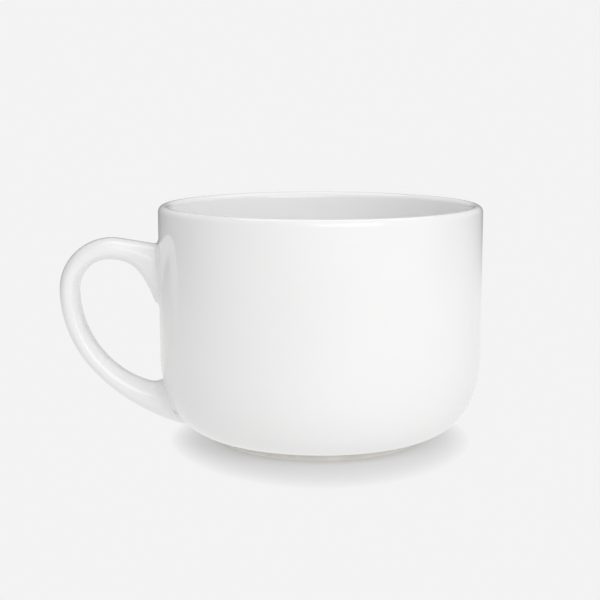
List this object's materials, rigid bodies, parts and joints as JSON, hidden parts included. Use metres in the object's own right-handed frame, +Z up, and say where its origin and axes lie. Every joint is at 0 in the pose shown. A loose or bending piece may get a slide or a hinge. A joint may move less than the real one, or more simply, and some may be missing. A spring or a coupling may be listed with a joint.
{
  "type": "latte mug",
  "caption": "Wide white glazed ceramic latte mug with a straight round wall, soft rounded base, rolled lip, bare foot ring and an ear-shaped handle for holding hot drinks.",
  "frame": {"origin": "centre of the foot ring's resting plane, on the cup's axis", "axes": "+Z up along the cup's axis, the handle points along -X, Y across the handle"},
  "size_m": [0.1376, 0.105, 0.077],
  "materials": {
    "clay": "matte bare fired clay",
    "slip": "matte fired slip",
    "glaze": "gloss white glaze"
  },
  "bodies": {
    "root": {"cup_body": "clay", "handle": "clay", "upper_slip_joint": "slip", "lower_slip_joint": "slip", "outer_glaze": "glaze", "inner_glaze": "glaze", "handle_glaze": "glaze", "base_glaze": "glaze"}
  },
  "joints": []
}
